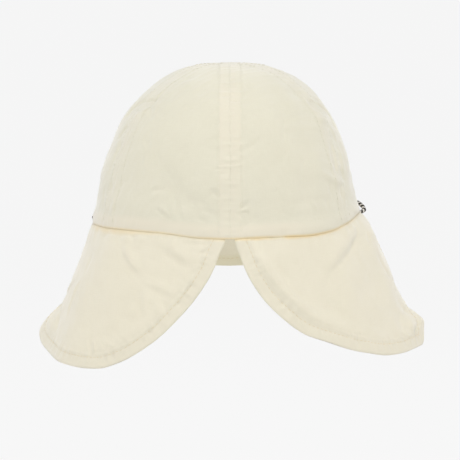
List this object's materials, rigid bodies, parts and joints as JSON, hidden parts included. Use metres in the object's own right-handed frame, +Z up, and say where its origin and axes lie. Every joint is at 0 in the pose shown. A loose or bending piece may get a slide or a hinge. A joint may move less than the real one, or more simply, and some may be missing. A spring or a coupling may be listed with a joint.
{
  "type": "sun hat with split neck flaps",
  "caption": "Child's soft cloth sun hat: panelled crown, turned-down front peak, and two neck flaps that part at the centre back.",
  "frame": {"origin": "centre of the head opening, level with the crown's sewn edge, where the hat sits on a head", "axes": "+Z up through the crown, +Y to the front where the peak points, +X to the right of a viewer who looks at the back"},
  "size_m": [0.2203, 0.2274, 0.1635],
  "materials": {
    "crown_cloth": "cream woven cloth, matt, plain weave",
    "flap_cloth": "cream woven cloth, matt, hemmed",
    "peak_cloth": "cream woven cloth, matt, hemmed",
    "cord_yarn": "twisted black and white yarn"
  },
  "bodies": {
    "root": {"crown_back_left": "crown_cloth", "crown_back_right": "crown_cloth", "crown_side_left": "crown_cloth", "crown_side_right": "crown_cloth", "crown_front_left": "crown_cloth", "crown_front_right": "crown_cloth", "flap_left": "flap_cloth", "flap_right": "flap_cloth", "peak": "peak_cloth", "front_cord": "cord_yarn"}
  },
  "joints": []
}
